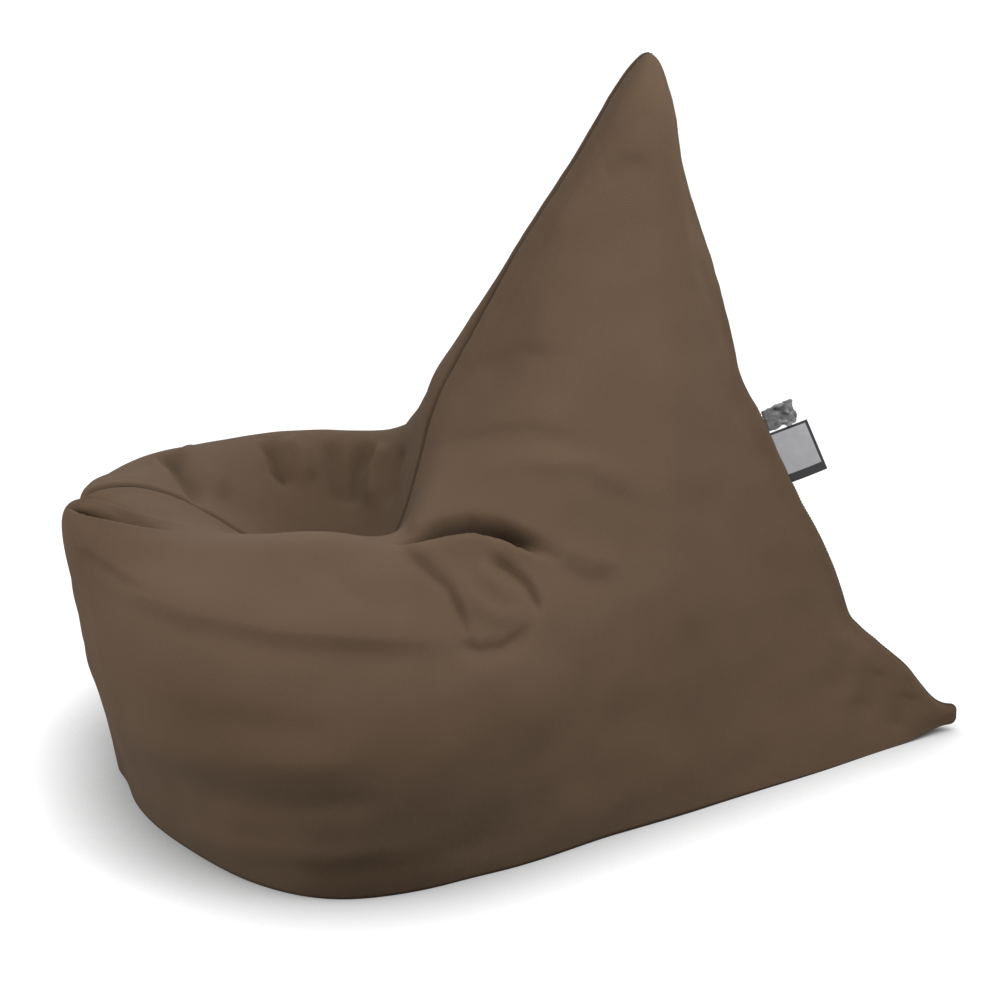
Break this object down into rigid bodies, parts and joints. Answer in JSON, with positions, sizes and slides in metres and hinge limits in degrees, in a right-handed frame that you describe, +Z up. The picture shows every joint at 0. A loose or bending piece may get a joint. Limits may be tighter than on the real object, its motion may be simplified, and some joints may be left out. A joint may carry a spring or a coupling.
{
  "type": "bean bag chair",
  "caption": "Soft triangular bean bag chair of two sewn cloth panels, with a tall pointed back, a sunk seat, loose bead filling and a child-safe zip in the base.",
  "frame": {"origin": "on the floor, under the middle of the bag's outline", "axes": "+Z up, the sitter faces -Y, the tail corner points to +Y, +X is the sitter's left"},
  "size_m": [0.7818, 1.0008, 0.786],
  "materials": {
    "cover_cloth": "matt brown plain weave",
    "beads": "white expanded polystyrene beads",
    "facing_cloth": "brown lining twill",
    "zip_tape": "woven polyester tape",
    "zip_teeth": "moulded brown plastic",
    "slider_metal": "brown lacquered die casting",
    "label_satin": "grey satin with a black woven border",
    "care_ribbon": "thin grey satin ribbon"
  },
  "bodies": {
    "bag": {"left_cover_panel": "cover_cloth", "right_cover_panel": "cover_cloth", "bead_fill": "beads", "left_zip_facing": "facing_cloth", "right_zip_facing": "facing_cloth", "left_zip_tape": "zip_tape", "right_zip_tape": "zip_tape", "left_zip_teeth": "zip_teeth", "right_zip_teeth": "zip_teeth", "zip_top_stops": "zip_teeth", "zip_bottom_stop": "zip_teeth", "zip_garage": "facing_cloth", "side_label": "label_satin", "care_label": "care_ribbon"},
    "zip_slider": {"zip_slider": "slider_metal"}
  },
  "joints": [
    {"name": "zip_slide", "type": "slide", "parent": "bag", "child": "zip_slider", "axis": [0, -1, 0], "range_m": [0, 0.3517], "deforming": ["left_zip_teeth", "right_zip_teeth"]}
  ]
}
